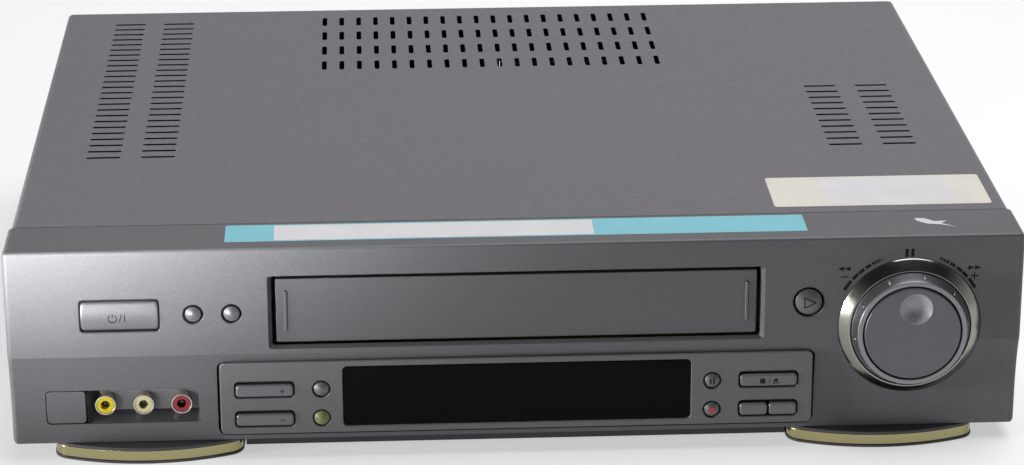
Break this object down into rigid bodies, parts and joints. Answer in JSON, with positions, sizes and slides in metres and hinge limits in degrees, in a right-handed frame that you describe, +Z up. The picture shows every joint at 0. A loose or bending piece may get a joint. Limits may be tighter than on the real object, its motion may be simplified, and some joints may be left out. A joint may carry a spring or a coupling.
{
  "type": "video cassette recorder",
  "caption": "Front-loading video cassette recorder with a flap door, jog dial in a shuttle ring, button panel, front sockets, vented cover and a tape deck inside.",
  "frame": {"origin": "on the shelf under the middle of the machine's box, front dial and rear sockets counted", "axes": "+X to the right as seen from the front, +Y from the front towards the rear sockets, +Z up"},
  "size_m": [0.4, 0.341, 0.0895],
  "materials": {
    "bezel_paint": "satin silver paint with a fine metallic flake",
    "panel_paint": "satin darker silver paint",
    "button_paint": "satin silver paint on moulded caps",
    "cover_paint": "semi-matt grey paint on steel sheet",
    "bright_plating": "bright plating",
    "dial_metal": "satin, turned",
    "smoked_acrylic": "gloss black acrylic",
    "black_plastic": "semi-matt black",
    "gold_band": "bright pale gold band",
    "green_plastic": "tinted clear plastic",
    "yellow_plastic": "gloss",
    "white_plastic": "gloss",
    "red_plastic": "gloss",
    "zinc_steel": "zinc plated",
    "dark_steel": "dark coated steel sheet",
    "drum_aluminium": "fine turned",
    "circuit_board": "brown board with its components",
    "rubber": "matt black",
    "cream_plastic": "moulded"
  },
  "bodies": {
    "case": {"front_panel": "bezel_paint", "control_panel": "panel_paint", "display_window": "smoked_acrylic", "front_board": "circuit_board", "dial_bezel": "bright_plating", "front_jack_housing": "black_plastic", "jack_blank_plate": "bezel_paint", "video_jack": "yellow_plastic", "audio_left_jack": "white_plastic", "audio_right_jack": "red_plastic", "front_foot_left": "black_plastic", "front_foot_right": "black_plastic", "foot_trim_left": "gold_band", "foot_trim_right": "gold_band", "rear_foot_left": "rubber", "rear_foot_right": "rubber", "top_cover": "cover_paint", "cover_screw_left": "zinc_steel", "cover_screw_right": "zinc_steel", "bottom_chassis": "dark_steel", "rear_panel": "dark_steel", "scart_socket_lower": "black_plastic", "scart_socket_upper": "black_plastic", "tuner_module": "zinc_steel", "rear_audio_jacks": "black_plastic", "mains_inlet": "black_plastic", "main_board": "circuit_board", "power_supply": "circuit_board", "deck_plate": "zinc_steel", "deck_bracket_left": "zinc_steel", "deck_bracket_right": "zinc_steel", "lower_drum": "drum_aluminium", "capstan_motor": "circuit_board", "loading_motor": "dark_steel"},
    "timer_button": {"timer_button": "button_paint"},
    "review_button": {"review_button": "button_paint"},
    "play_button": {"play_button": "button_paint"},
    "synchro_edit_button": {"synchro_edit_button": "button_paint"},
    "record_link_button": {"record_link_button": "green_plastic"},
    "pause_button": {"pause_button": "button_paint"},
    "record_button": {"record_button": "button_paint"},
    "channel_up_button": {"channel_up_button": "panel_paint"},
    "channel_down_button": {"channel_down_button": "panel_paint"},
    "stop_eject_button": {"stop_eject_button": "panel_paint"},
    "insert_button": {"insert_button": "panel_paint"},
    "audio_dub_button": {"audio_dub_button": "panel_paint"},
    "power_button": {"power_button": "button_paint"},
    "shuttle_ring": {"shuttle_ring": "dial_metal"},
    "jog_dial": {"jog_dial": "dial_metal"},
    "cassette_door": {"cassette_door": "panel_paint"},
    "holder_carriage": {"holder_carriage": "zinc_steel"},
    "cassette_holder": {"cassette_holder": "zinc_steel"},
    "upper_drum": {"upper_drum": "drum_aluminium"},
    "capstan": {"capstan": "zinc_steel"},
    "pinch_arm": {"pinch_arm": "zinc_steel"},
    "pinch_roller": {"pinch_roller": "rubber"},
    "supply_reel": {"supply_reel": "cream_plastic"},
    "takeup_reel": {"takeup_reel": "cream_plastic"},
    "takeup_guide": {"takeup_guide": "zinc_steel"},
    "supply_guide": {"supply_guide": "zinc_steel"}
  },
  "joints": [
    {"name": "timer_button_press", "type": "slide", "parent": "case", "child": "timer_button", "axis": [0, 1, 0], "range_m": [0, 0.0012], "stiffness_N_per_m": 600},
    {"name": "review_button_press", "type": "slide", "parent": "case", "child": "review_button", "axis": [0, 1, 0], "range_m": [0, 0.0012], "stiffness_N_per_m": 600},
    {"name": "play_button_press", "type": "slide", "parent": "case", "child": "play_button", "axis": [0, 1, 0], "range_m": [0, 0.0012], "stiffness_N_per_m": 600},
    {"name": "synchro_edit_button_press", "type": "slide", "parent": "case", "child": "synchro_edit_button", "axis": [0, 1, 0], "range_m": [0, 0.0012], "stiffness_N_per_m": 600},
    {"name": "record_link_button_press", "type": "slide", "parent": "case", "child": "record_link_button", "axis": [0, 1, 0], "range_m": [0, 0.0012], "stiffness_N_per_m": 600},
    {"name": "pause_button_press", "type": "slide", "parent": "case", "child": "pause_button", "axis": [0, 1, 0], "range_m": [0, 0.0012], "stiffness_N_per_m": 600},
    {"name": "record_button_press", "type": "slide", "parent": "case", "child": "record_button", "axis": [0, 1, 0], "range_m": [0, 0.0012], "stiffness_N_per_m": 600},
    {"name": "channel_up_button_press", "type": "slide", "parent": "case", "child": "channel_up_button", "axis": [0, 1, 0], "range_m": [0, 0.0012], "stiffness_N_per_m": 600},
    {"name": "channel_down_button_press", "type": "slide", "parent": "case", "child": "channel_down_button", "axis": [0, 1, 0], "range_m": [0, 0.0012], "stiffness_N_per_m": 600},
    {"name": "stop_eject_button_press", "type": "slide", "parent": "case", "child": "stop_eject_button", "axis": [0, 1, 0], "range_m": [0, 0.0012], "stiffness_N_per_m": 600},
    {"name": "insert_button_press", "type": "slide", "parent": "case", "child": "insert_button", "axis": [0, 1, 0], "range_m": [0, 0.0012], "stiffness_N_per_m": 600},
    {"name": "audio_dub_button_press", "type": "slide", "parent": "case", "child": "audio_dub_button", "axis": [0, 1, 0], "range_m": [0, 0.0012], "stiffness_N_per_m": 600},
    {"name": "power_button_press", "type": "slide", "parent": "case", "child": "power_button", "axis": [0, 1, 0], "range_m": [0, 0.0018], "stiffness_N_per_m": 600},
    {"name": "shuttle_turn", "type": "hinge", "parent": "case", "child": "shuttle_ring", "pos_m": [0.1553, -0.1615, 0.0516], "axis": [0, 1, 0], "range_deg": [-75, 75], "stiffness_Nm_per_rad": 0.03},
    {"name": "jog_turn", "type": "hinge", "parent": "case", "child": "jog_dial", "pos_m": [0.1553, -0.1615, 0.0516], "axis": [0, 1, 0], "continuous": true},
    {"name": "door_swing", "type": "hinge", "parent": "case", "child": "cassette_door", "pos_m": [0, -0.1575, 0.0776], "axis": [1, 0, 0], "range_deg": [0, 90], "stiffness_Nm_per_rad": 0.004},
    {"name": "carriage_travel", "type": "slide", "parent": "case", "child": "holder_carriage", "axis": [0, 1, 0], "range_m": [0, 0.066]},
    {"name": "holder_drop", "type": "slide", "parent": "holder_carriage", "child": "cassette_holder", "axis": [0, 0, -1], "range_m": [0, 0.022]},
    {"name": "drum_spin", "type": "hinge", "parent": "case", "child": "upper_drum", "pos_m": [0, 0.0885, 0.029], "axis": [0.1045, 0, 0.9945], "continuous": true},
    {"name": "capstan_spin", "type": "hinge", "parent": "case", "child": "capstan", "pos_m": [0.04, 0.0385, 0.017], "axis": [0, 0, 1], "continuous": true},
    {"name": "pinch_arm_swing", "type": "hinge", "parent": "case", "child": "pinch_arm", "pos_m": [0.073, 0.0265, 0.024], "axis": [0, 0, 1], "range_deg": [0, 30], "stiffness_Nm_per_rad": 0.02},
    {"name": "pinch_roller_spin", "type": "hinge", "parent": "pinch_arm", "child": "pinch_roller", "pos_m": [0.05998, 0.05441, 0.032], "axis": [0, 0, 1], "continuous": true},
    {"name": "supply_reel_spin", "type": "hinge", "parent": "case", "child": "supply_reel", "pos_m": [-0.0462, -0.0185, 0.022], "axis": [0, 0, 1], "continuous": true},
    {"name": "takeup_reel_spin", "type": "hinge", "parent": "case", "child": "takeup_reel", "pos_m": [0.0462, -0.0185, 0.022], "axis": [0, 0, 1], "continuous": true},
    {"name": "takeup_guide_travel", "type": "slide", "parent": "case", "child": "takeup_guide", "axis": [0.2685, 0.9633, 0], "range_m": [0, 0.0633]},
    {"name": "supply_guide_travel", "type": "slide", "parent": "case", "child": "supply_guide", "axis": [-0.2685, 0.9633, 0], "range_m": [0, 0.0633]}
  ],
  "couplings": [
    {"joint": "supply_guide_travel", "follows": "takeup_guide_travel", "ratio": 1}
  ]
}
